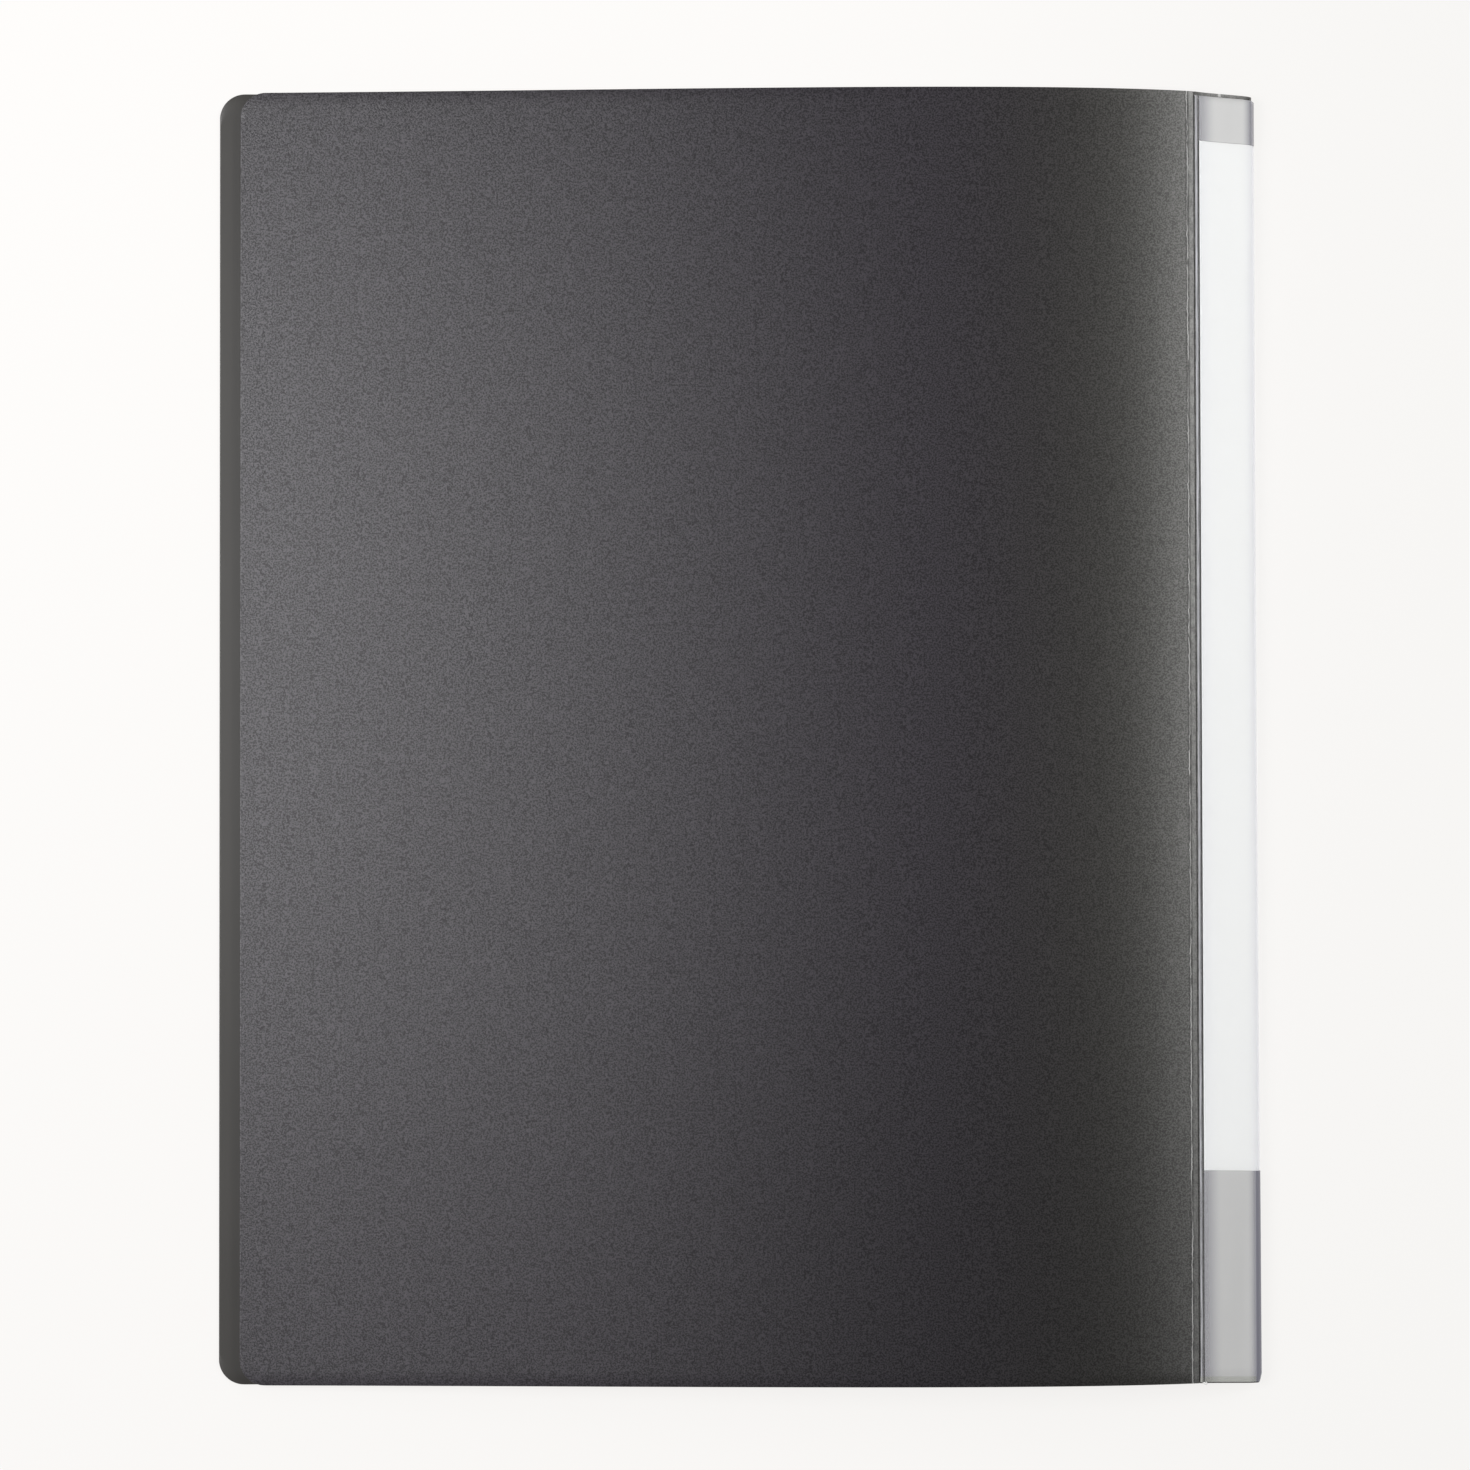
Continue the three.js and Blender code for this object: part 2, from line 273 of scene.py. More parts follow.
class Value:
    """A shader socket that adds Math nodes when it is used in an expression."""

    def __init__(self, graph, socket):
        self.graph = graph
        self.socket = socket

    def _math(self, operation, *operands):
        node = self.graph.add("ShaderNodeMath", {"operation": operation}, dict(enumerate(operands)))
        return Value(self.graph, node.outputs[0])

    def __add__(self, other):
        return self._math("ADD", self, other)

    __radd__ = __add__

    def __mul__(self, other):
        return self._math("MULTIPLY", self, other)

    __rmul__ = __mul__

    def __sub__(self, other):
        return self._math("SUBTRACT", self, other)

    def __rsub__(self, other):
        return self._math("SUBTRACT", other, self)

    def __abs__(self):
        return self._math("ABSOLUTE", self)

    def step(self, low, high):
        """0 below low, 1 above high, smooth between."""
        node = self.graph.add(
            "ShaderNodeMapRange",
            {"interpolation_type": "SMOOTHSTEP"},
            {"Value": self, "From Min": low, "From Max": high},
        )
        return Value(self.graph, node.outputs["Result"])

    def near(self, centre, half_width, soft):
        """1 within half_width of centre, falling to 0 over soft."""
        return 1 - abs(self - centre).step(half_width, half_width + soft)

    def between(self, low, high):
        """A share from 0 to 1 as a value from low to high."""
        return self * (high - low) + low

    def towards(self, other, part):
        """This value moved towards another by a part of the way."""
        return self + (other - self) * part


class Graph:
    """The node tree of one material or world."""

    def __init__(self, owner):
        owner.use_nodes = True
        self.owner = owner
        self.tree = owner.node_tree
        self.tree.nodes.clear()

    def add(self, kind, settings=None, inputs=None):
        """A node of that type, with its settings made first and then its sockets' values or links."""
        node = self.tree.nodes.new(kind)
        for key, value in (settings or {}).items():
            setattr(node, key, value)
        for key, value in (inputs or {}).items():
            socket = node.inputs[key]
            if isinstance(value, Value):
                value = value.socket
            if isinstance(value, bpy.types.NodeSocket):
                self.tree.links.new(value, socket)
            elif value is not None:
                socket.default_value = value
        return node

    def place(self, kind="Object"):
        """The point on the piece in metres, or the direction in a world."""
        return self.add("ShaderNodeTexCoord").outputs[kind]

    def axis(self, point, axis):
        """One coordinate of a point."""
        return Value(self, self.add("ShaderNodeSeparateXYZ", inputs={0: point}).outputs[axis])

    def sheet_place(self):
        """The distance across and along a bent sheet, in metres, kept in its UV map."""
        return self.add("ShaderNodeUVMap", {"uv_map": "sheet"}).outputs[0]

    def noise(self, point, size, detail=2.0, roughness=0.5):
        """Noise from 0 to 1 with features of that size in metres."""
        inputs = {"Vector": point, "Scale": 1 / size, "Detail": detail, "Roughness": roughness}
        return Value(self, self.add("ShaderNodeTexNoise", inputs=inputs).outputs["Fac"])

    def stretch(self, point, scale):
        """A point scaled along each axis."""
        node = self.add("ShaderNodeVectorMath", {"operation": "MULTIPLY"}, {0: point, 1: scale})
        return node.outputs[0]

    def scale(self, colour, factor):
        """A colour made lighter or darker by a value that varies over the surface."""
        node = self.add("ShaderNodeVectorMath", {"operation": "SCALE"}, {0: colour, "Scale": factor})
        return node.outputs[0]

    def blend(self, factor, first, second):
        """A colour between two others."""
        node = self.add("ShaderNodeMix", {"data_type": "RGBA"}, {"Factor": factor})
        for number, value in ((MIX_FIRST, first), (MIX_SECOND, second)):
            socket = node.inputs[number]
            if isinstance(value, bpy.types.NodeSocket):
                self.tree.links.new(value, socket)
            else:
                socket.default_value = (*value[:3], 1)
        return node.outputs[MIX_RESULT]

    def bump(self, height, depth):
        """A normal from a height of 0 to 1, depth metres deep."""
        node = self.add("ShaderNodeBump", inputs={"Height": height, "Distance": depth, "Strength": 1})
        return node.outputs[0]

    def surface(self, inputs):
        """The Principled shader, linked to the material's output."""
        node = self.add("ShaderNodeBsdfPrincipled", inputs=inputs)
        self.add("ShaderNodeOutputMaterial", inputs={"Surface": node.outputs[0]})
        return self.owner


def new_material(name):
    return Graph(bpy.data.materials.new(name))


def tinted(base, factor):
    """A colour made lighter or darker."""
    return [channel * factor for channel in base]


def crease_wander(graph, look, point):
    """How far the folded line strays from a straight one, as a function of the place along it."""
    along = graph.stretch(point, (0, 1, 0))
    slow = graph.noise(along, 16 * MM, detail=1) - 0.5
    quick = graph.noise(along, 2.4 * MM, detail=4, roughness=0.75) - 0.5
    return slow * look.wander_slow + quick * look.wander_quick


def crease_marks(graph, look, point, away, side):
    """Where folding has whitened the plastic, a thin irregular line just beyond the crease, and a thin
    painted shade line on its other side, for the shade of the fold, where the broken line leaves gaps. away
    is the distance from the crease, and side is where the spine lies."""
    away = away + crease_wander(graph, look, point)
    broken = graph.noise(graph.stretch(point, (1, 0.3, 1)), 0.8 * MM, detail=3).step(low=0.28, high=0.52)
    fade = graph.noise(graph.stretch(point, (0, 1, 0)), 15 * MM).step(low=0.34, high=0.56).between(0.25, 1)
    white = away.near(side * 0.16 * MM, half_width=0.04 * MM, soft=0.13 * MM) * broken * fade
    # Painted shade of the fold: a dark line on the crease's other side, where the whitened line breaks.
    dark = away.near(side * -0.06 * MM, half_width=0.07 * MM, soft=0.1 * MM) * (1 - broken)
    return white, dark


def outer_plastic(look, name, creases, strip=0):
    """Matt black plastic with an embossed sand grain, marked along its creases.
    creases are places across the sheet, each with the side on which the spine lies, and strip is the width
    of the stressed strip beyond each of them. Only a piece with strips has a scuffed and nicked top end."""
    graph = new_material(name)
    point = graph.place()
    x, y = graph.axis(point, "X"), graph.axis(point, "Y")
    across = graph.axis(graph.sheet_place(), "X")
    grain = graph.noise(point, look.grain, detail=3, roughness=0.65)
    coarse = graph.noise(point, look.grain * 4)
    sand = grain.step(low=0.40, high=0.60)
    spine_side = x.step(look.smooth_from, look.smooth_to)
    relief = 1 - spine_side * look.smoothed
    tone = graph.blend(spine_side, look.outside, look.spine_side)
    brightness = coarse.step(low=0.3, high=0.72).between(1.04, 1.34) + (sand - 0.5) * relief
    tone = graph.scale(tone, brightness)
    # Painted shade: darker over the lower half of the book, growing towards the spine.
    patch = x.step(look.bottom_shade_from, look.bottom_shade_to) * (1 - y.step(-HALF_HEIGHT, 0))
    bottom_shade_tint = tinted(look.outside, 0.1)
    tone = graph.blend(patch * look.bottom_shade, tone, bottom_shade_tint)
    # Painted shade colour for the line along each crease.
    crease_shade_tint = tinted(look.outside, 0.2)
    gloss = sand
    for crease, side in creases:
        if strip:
            half = strip / 2
            mottled = graph.noise(graph.stretch(point, (1, 0.5, 1)), 1.3 * MM, detail=4, roughness=0.65)
            mottled = mottled.step(low=0.35, high=0.7).between(0.4, 1)
            stress = y.step(-HALF_HEIGHT, HALF_HEIGHT).between(look.stress_bottom, look.stress_top)
            stressed = across.near(crease + side * half, half, soft=0.1 * MM) * mottled * stress
            tone = graph.blend(stressed, tone, look.whitened)
        ripple = graph.noise(graph.stretch(point, (1, 0.12, 1)), 1.5 * MM, detail=3).step(low=0.5, high=0.75)
        ripple = across.near(crease, half_width=0.6 * MM, soft=look.ripple_reach) * ripple
        tone = graph.blend(ripple * look.rippled, tone, look.whitened)
        white, dark = crease_marks(graph, look, point, across - crease, side)
        tone = graph.blend(white, tone, look.whitened)
        # The painted crease shade also takes the coat off there.
        tone = graph.blend(dark, tone, crease_shade_tint)
        gloss = gloss * (1 - dark)
    if strip:
        from_end = HALF_HEIGHT - y
        scuff = 1 - from_end.step(low=0.6 * MM, high=1.2 * MM)
        tone = graph.blend(scuff * look.scuffed, tone, look.whitened)
        nick = x.near(look.nick_x, half_width=0.2 * MM, soft=0.3 * MM)
        nick = nick * (1 - from_end.step(low=0.7 * MM, high=1.1 * MM))
        tone = graph.blend(nick * look.nicked, tone, look.whitened)
    return graph.surface({
        "Base Color": tone,
        "Roughness": look.roughness,
        "Coat Weight": gloss,
        "Coat Roughness": look.roughness,
        "Normal": graph.bump((grain + coarse * 0.35) * relief, look.grain_depth),
    })


def inner_plastic(look):
    """The smooth inner face of the plastic sheet."""
    graph = new_material("inner_plastic")
    point = graph.place()
    rolled = graph.noise(graph.stretch(point, (1, 0.25, 1)), 6 * MM, detail=3)
    fine = graph.noise(point, 0.4 * MM)
    return graph.surface({
        "Base Color": graph.blend(rolled, tinted(look.inside, 0.92), tinted(look.inside, 1.08)),
        "Roughness": rolled.between(0.34, 0.40),
        "Coat Weight": 0.7,
        "Coat Roughness": look.roughness,
        "Normal": graph.bump(fine, 0.008 * MM),
    })


def clear_film(look, width, score_x, nose_x):
    """The milky clear film over the spine, glossy, pressed clear at its weld lines, with painted shade where
    it turns down and beside its weld.
    width is its length across the spine, from one score line to the other."""
    graph = new_material("clear_film")
    point = graph.place()
    x = graph.axis(point, "X")
    across = graph.axis(graph.sheet_place(), "X")
    along = graph.axis(graph.sheet_place(), "Y")
    up = along.step(FILM_LOW.y, FILM_HIGH.y)
    slow = graph.noise(graph.stretch(point, (1, 0.12, 1)), 5 * MM)
    from_edge = width / 2 - abs(across - width / 2)
    weld = from_edge.near(look.selvedge + look.weld / 2, half_width=look.weld * 0.4, soft=look.weld * 0.3)
    soft = 0.85
    selvedge = 1 - from_edge.step(look.selvedge * soft, look.selvedge)
    turned = x.step(nose_x - look.turn_down, nose_x)
    # Painted shade beside the weld, fading over a few millimetres.
    side_from, side_to = 0.2 * MM, 5 * MM
    near_weld = 1 - from_edge.step(look.selvedge + side_from, look.selvedge + side_to)
    seal = 1 - (along - FILM_LOW.y).step(look.end_seal * soft, look.end_seal)
    edge = 0.05 * MM
    on_card = along.step(CARD_LOW.y - edge, CARD_LOW.y) * (1 - along.step(CARD_HIGH.y, CARD_HIGH.y + edge))
    on_card = on_card * from_edge.step(look.card_inset - edge, look.card_inset)
    haze = up.between(look.haze_bottom, look.haze_top) + (slow - 0.5) * look.clouding
    # Painted shade: less haze where the film turns down and beside the weld.
    haze = haze * (1 - turned * look.nose_shade) * (1 - near_weld * look.weld_side_shade)
    haze = haze.towards(look.haze_card, on_card)
    stray = graph.noise(graph.stretch(point, (0, 1, 0)), 11 * MM) - 0.5
    line = x + stray * look.glint_stray
    sparkle = graph.noise(graph.stretch(point, (1, 0.1, 1)), 0.9 * MM).step(low=0.35, high=0.65)
    glint = line.near(score_x + look.selvedge * 0.5, half_width=0.1 * MM, soft=0.25 * MM)
    glint = glint * sparkle.between(look.glint_least, look.glint_most) + look.haze_selvedge
    glint_bottom = 0.7
    veil = haze * (1 - selvedge) + selvedge * glint * up.between(glint_bottom, 1)
    veil = veil * (1 - weld * look.clear_weld) * (1 - seal * look.clear_seal)
    # Painted reflection: a dark band inside the nose, where the film is seen edge on, lighter at the top.
    rim = (x - up * look.rim_shift).step(nose_x - look.rim_from, nose_x - look.rim_to) * (1 - on_card)
    veil = veil.towards(look.haze_rim, rim)
    # Painted shade tint where the film turns down and beside the weld.
    shaded = (turned + near_weld * 0.5) * 0.8
    tint = graph.blend(shaded, look.film, look.film_shade)
    tint = graph.blend(seal, tint, look.end_tint)
    rim_shade_tint = graph.blend(up, look.rim_shade_bottom, look.rim_shade_top)
    return graph.surface({
        "Base Color": graph.blend(rim, tint, rim_shade_tint),
        "Roughness": slow.between(0.28, 0.36),
        "Alpha": veil,
        "Normal": graph.bump(slow, 0.02 * MM),
    })


def plain_card(look):
    """Plain white card."""
    graph = new_material("plain_card")
    fibre = graph.noise(graph.place(), 0.4 * MM, detail=4, roughness=0.6)
    return graph.surface({
        "Base Color": graph.blend(fibre, tinted(look.card, 0.985), look.card),
        "Roughness": 0.75,
        "Normal": graph.bump(fibre, 0.006 * MM),
    })


def pocket_film(look):
    """Clear film seen many layers deep."""
    graph = new_material("pocket_film")
    point = graph.place()
    slow = graph.noise(point, 30 * MM)
    billows = graph.noise(graph.stretch(point, (0.6, 0.3, 1)), 25 * MM)
    return graph.surface({
        "Base Color": graph.blend(slow, tinted(look.film, 0.93), look.film),
        "Roughness": slow.between(0.2, 0.28),
        "Normal": graph.bump(billows, 0.4 * MM),
    })


def bezier(points, steps):
    """Points of a quadratic or cubic curve in the XZ profile."""
    order = len(points) - 1
    found = []
    for i in range(steps + 1):
        t = i / steps
        terms = (math.comb(order, k) * (1 - t) ** (order - k) * t ** k * p for k, p in enumerate(points))
        found.append(sum(terms, Vector((0, 0))))
    return found


class Profile:
    """A line in the XZ plane that can be read by the distance along it."""

    def __init__(self, points):
        self.points = points
        self.at = [0.0]
        for before, after in zip(points, points[1:]):
            self.at.append(self.at[-1] + (after - before).length)

    @property
    def length(self):
        return self.at[-1]

    def segment(self, distance):
        """The number of the stretch that holds a distance."""
        low, high = 0, len(self.at) - 1
        while high - low > 1:
            middle = (low + high) // 2
            low, high = (middle, high) if self.at[middle] <= distance else (low, middle)
        return low

    def tangent(self, k):
        """The direction at a point of the line."""
        before, after = max(k - 1, 0), min(k + 1, len(self.points) - 1)
        return (self.points[after] - self.points[before]).normalized()

    def read(self, distance):
        """The point and its left-hand normal at a distance."""
        distance = min(max(distance, 0), self.length)
        k = self.segment(distance)
        t = (distance - self.at[k]) / (self.at[k + 1] - self.at[k])
        along = self.tangent(k).lerp(self.tangent(k + 1), t).normalized()
        return self.points[k].lerp(self.points[k + 1], t), Vector((-along.y, along.x))

    def at_x(self, x):
        """The height of a line that runs towards +X."""
        for a, b in zip(self.points, self.points[1:]):
            if a.x <= x <= b.x:
                return a.y + (b.y - a.y) * (x - a.x) / max(b.x - a.x, TINY)
        return self.points[-1].y if x > self.points[-1].x else self.points[0].y


class BookLines:
    """The middle lines of the back cover and of the spine, and the creases."""

    def __init__(self, lie):
        self.width = FRONT_HIGH.x + lie.crease_gap / 2 - FRONT_LOW.x
        self.stack = SHEET / 2 + lie.layer_gap * 2 + lie.card + lie.film
        self.front_crease = Vector((FRONT_LOW.x + self.width, SHEET / 2))
        self.back_crease = Vector((self.front_crease.x + lie.crease_lead, lie.crease_height))
        strip_rise = self.stack - SHEET / 2 + lie.layer_gap
        self.front_score = self.front_crease + Vector((lie.hinge_strip, strip_rise))
        self.back_score = self.back_crease + Vector((lie.hinge_strip, -lie.strip_drop))
        self.nose = Vector((self.back_score.x + lie.spine_reach, lie.nose_height))
        fore_edge = Vector((self.back_crease.x - self.width, lie.fore_height))
        swell = Vector((-lie.belly_share * self.width, lie.belly_lift))
        climb = Vector((lie.fore_share * self.width, lie.fore_lift))
        arch = [self.back_crease, self.back_crease + swell, fore_edge + climb, fore_edge]
        self.cover = Profile(bezier(arch, COVER_CURVE_STEPS))
        slant = self.back_score + Vector((lie.slant_run, -lie.slant_drop))
        level = self.front_score + Vector((lie.under_run, 0))
        above = self.nose + Vector((0, lie.nose_above))
        below = self.nose - Vector((0, lie.nose_below))
        around = bezier([self.back_score, slant, above, self.nose], SPINE_CURVE_STEPS)
        around += bezier([self.nose, below, level, self.front_score], SPINE_CURVE_STEPS)[1:]
        self.spine = Profile(around)
        self.skew = lie.skew
        self.sag = lie.sag

    def settle(self, x, y):
        """How far wear has moved a point of the spine across and along the book."""
        share_out = min(max((x - self.back_score.x) / (self.nose.x - self.back_score.x), 0), 1)
        share_down = min(max(-y / HALF_HEIGHT, 0), 1)
        return self.sag * share_out ** 2 * share_down, -self.skew * share_out


def corner_cut(distance, radius):
    """How much a rounded corner takes off the end of the sheet at a distance from its edge."""
    if distance >= radius:
        return 0.0
    return radius - math.sqrt(max(radius ** 2 - (radius - distance) ** 2, 0))


def quarter_turn(radius, i, steps):
    """How far a rounded edge has run sideways after i of the steps of its quarter turn."""
    return radius * (1 - math.cos(math.pi / 2 * i / steps))


def smooth(t):
    """A share from 0 to 1 that starts and ends gently."""
    return t * t * (3 - 2 * t)


def spread(start, end, steps):
    """Places that divide the way from start to end into equal steps."""
    return [start + (end - start) * i / steps for i in range(steps + 1)]


def rounded_run(start, end, radius, steps):
    """Places from start to end, close together within radius of both ends."""
    corner = [quarter_turn(radius, i, EDGE_STEPS) for i in range(EDGE_STEPS)]
    inner = spread(start + radius, end - radius, steps)
    return [start + c for c in corner] + inner + [end - c for c in reversed(corner)]


def stations_along(line, distances, low, high, height=0.0):
    """Stations of a sheet that follows a line at a height above it."""
    stations = []
    for distance in distances:
        point, normal = line.read(distance)
        stations.append(Station(point + normal * height, normal, low, high, distance))
    return stations


def sheet_faces(rows, columns):
    """Faces of a closed sheet with two layers of points, each with a note whether it is an inner one."""
    faces = []
    under = rows * columns
    for i in range(rows - 1):
        for j in range(columns - 1):
            a, b = i * columns + j, (i + 1) * columns + j
            faces.append(((a, b, b + 1, a + 1), False))
            faces.append(((under + a, under + a + 1, under + b + 1, under + b), True))
    edge = list(range(columns))
    edge += [i * columns + columns - 1 for i in range(1, rows)]
    edge += [(rows - 1) * columns + j for j in range(columns - 2, -1, -1)]
    edge += [i * columns for i in range(rows - 2, 0, -1)]
    faces += [((a, b, under + b, under + a), False) for a, b in zip(edge, edge[1:] + edge[:1])]
    return faces


def bent_sheet(
    name, stations, thickness, columns, materials,
    rim=0.0, relief=None, lift=None, settle=None, fine=0.02 * MM,
):
    """A bent sheet with the first material outside and the last one inside.
    The rim rounds the cut edges all round. The sheet is divided closely over the length fine at both ends.
    relief(distance) raises the outer face, lift(distance, y) raises the whole sheet, and settle(x, y)
    moves its points across and along the book."""
    vertices, places = [], []
    thinnest = thickness * 0.08
    first, last = stations[0].distance, stations[-1].distance
    for side in (1, -1):
        for point, normal, low, high, distance in stations:
            end_cut = corner_cut(min(abs(distance - first), abs(last - distance)), rim)
            for y in rounded_run(low, high, max(rim, fine), columns):
                side_cut = corner_cut(min(y - low, high - y), rim)
                half = max(thickness / 2 - end_cut - side_cut, thinnest)
                raised = relief(distance) if relief and side > 0 else 0.0
                raised += lift(distance, y) if lift else 0.0
                p = point + normal * (side * half + raised)
                moved = settle(p.x, y) if settle else (0.0, 0.0)
                vertices.append((p.x + moved[0], y + moved[1], p.y))
                places.append((distance, y))
    faces = sheet_faces(len(stations), columns + 2 * EDGE_STEPS + 1)
    slots = [len(materials) - 1 if inner else 0 for _, inner in faces]
    faces = [face for face, _ in faces]
    return mesh_piece(name, vertices, faces, materials, slots, places)


def mesh_piece(name, vertices, faces, materials, slots=None, places=None):
    """A new smooth piece from its vertices and faces."""
    mesh = bpy.data.meshes.new(name)
    mesh.from_pydata(vertices, [], faces)
    for material in materials:
        mesh.materials.append(material)
    if slots:
        mesh.polygons.foreach_set("material_index", slots)
    if places:
        layer = mesh.uv_layers.new(name="sheet")
        for loop, uv in zip(mesh.loops, layer.data):
            uv.uv = places[loop.vertex_index]
    work = bmesh.new()
    work.from_mesh(mesh)
    bmesh.ops.recalc_face_normals(work, faces=work.faces)
    work.to_mesh(mesh)
    work.free()
    mesh.shade_smooth()
    mesh.set_sharp_from_angle(angle=SHARP_ANGLE)
    piece = bpy.data.objects.new(name, mesh)
    bpy.context.scene.collection.objects.link(piece)
    return piece


def dress(piece, body, node):
    """Ties a piece to its body, and lets it stand for the CAD node."""
    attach(piece, body)
    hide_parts(node)


def cover_stations(lie, look, width, read):
    """Stations of a cover from its fore edge to its crease, with two rounded corners."""
    rounding = rounded_run(0, width, look.edge_round, 1)
    # The corner's first two steps lie within the rounded edge, which has rows of its own.
    corner = [quarter_turn(lie.corner_radius, i, CORNER_STEPS) for i in range(2, CORNER_STEPS)]
    near_crease = 1 * MM
    rest = spread(lie.corner_radius, width - near_crease, COVER_ROWS)
    stations = []
    for distance in sorted(set(rounding + corner + rest)):
        point, normal = read(distance)
        half = HALF_HEIGHT - corner_cut(distance, lie.corner_radius)
        stations.append(Station(point, normal, -half, half, distance))
    return stations


class BOOK_OT_covers(bpy.types.Operator):
    """Build the two covers"""
    bl_idname = "book.covers"
    bl_label = "Covers"

    def execute(self, context):
        lie, look = context.scene.book_lie, context.scene.book_cover
        lines = BookLines(lie)
        width = lines.width - lie.crease_gap / 2
        inside = inner_plastic(look)
        outside = outer_plastic(look, "cover_plastic", [(lines.width, 1)])

        def flat(distance):
            return Vector((FRONT_LOW.x + distance, SHEET / 2)), Vector((0, -1))

        def arched(distance):
            point, normal = lines.cover.read(lines.width - distance)
            return point, -normal

        for name, leaf, node, read in (
            ("back_cover_sheet", "back_leaf", "back_cover", arched),
            ("front_cover_sheet", "front_leaf", "front_cover", flat),
        ):
            stations = cover_stations(lie, look, width, read)
            piece = bent_sheet(name, stations, SHEET, COVER_COLUMNS, [outside, inside], look.edge_round)
            dress(piece, leaf, node)
        return {"FINISHED"}


class BOOK_OT_spine(bpy.types.Operator):
    """Build the spine panel with its hinge strips, and the live hinges"""
    bl_idname = "book.spine"
    bl_label = "Spine"

    def execute(self, context):
        lie, look = context.scene.book_lie, context.scene.book_cover
        lines = BookLines(lie)
        strips = []
        back_strip = (lines.back_crease, lines.back_score)
        front_strip = (lines.front_crease, lines.front_score)
        for crease, score in (back_strip, front_strip):
            along = (score - crease).normalized()
            start = crease + along * lie.crease_gap / 2
            strips.append([start.lerp(score, t) for t in spread(0, 1, STRIP_STEPS)[:-1]])
        route = Profile(strips[0] + lines.spine.points + strips[1][::-1])
        strip = (lines.back_score - lines.back_crease).length - lie.crease_gap / 2
        scores = (strip, route.length - strip)
        creases = [(-lie.crease_gap / 2, 1), (route.length + lie.crease_gap / 2, -1)]
        outside = outer_plastic(look, "spine_plastic", creases, strip)
        # The covers are built first. Without their material this stops with an error.
        inside = bpy.data.materials["inner_plastic"]
        # The rows lie close together within this distance of a score line.
        close = 0.45 * MM
        apart = close + 0.02 * MM
        places = []
        for score in scores:
            places += spread(score - close, score + close, GROOVE_ROWS)
        for distance in spread(0, route.length, SPINE_ROWS):
            if all(abs(distance - score) > apart for score in scores):
                places.append(distance)
        stations = stations_along(route, sorted(places), -HALF_HEIGHT, HALF_HEIGHT)

        def score_groove(distance):
            away = min(abs(distance - score) for score in scores) / look.groove_width
            return -look.groove_depth * max(1 - away * away, 0) ** 2

        panel = bent_sheet(
            "spine_sheet", stations, SHEET, COVER_COLUMNS, [outside, inside],
            rim=look.edge_round, relief=score_groove, settle=lines.settle,
        )
        dress(panel, "spine", "spine_panel")
        self.live_hinge("back", lines, lie, look, lines.cover.tangent(0) * -1)
        self.live_hinge("front", lines, lie, look, Vector((1, 0)))
        return {"FINISHED"}

    def live_hinge(self, side, lines, lie, look, along_cover):
        """The thin web that joins a cover to the spine and bends between them."""
        crease = getattr(lines, side + "_crease")
        score = getattr(lines, side + "_score")
        turn = 1 if side == "back" else -1
        along_strip = (score - crease).normalized()
        reach = lie.crease_gap / 2
        stations = []
        for t in spread(-1, 1, HINGE_ROWS):
            along = along_cover if t < 0 else along_strip
            point = crease + along * reach * t
            mean = along_cover.lerp(along_strip, (t + 1) / 2).normalized()
            normal = Vector((-mean.y, mean.x)) * turn
            stations.append(Station(point, normal, -HALF_HEIGHT, HALF_HEIGHT, reach * t))
        material = outer_plastic(look, side + "_hinge_plastic", [(0, 1)])
        piece = bent_sheet(side + "_live_hinge", stations, SHEET * look.hinge_web, HINGE_COLUMNS, [material])
        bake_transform(piece)


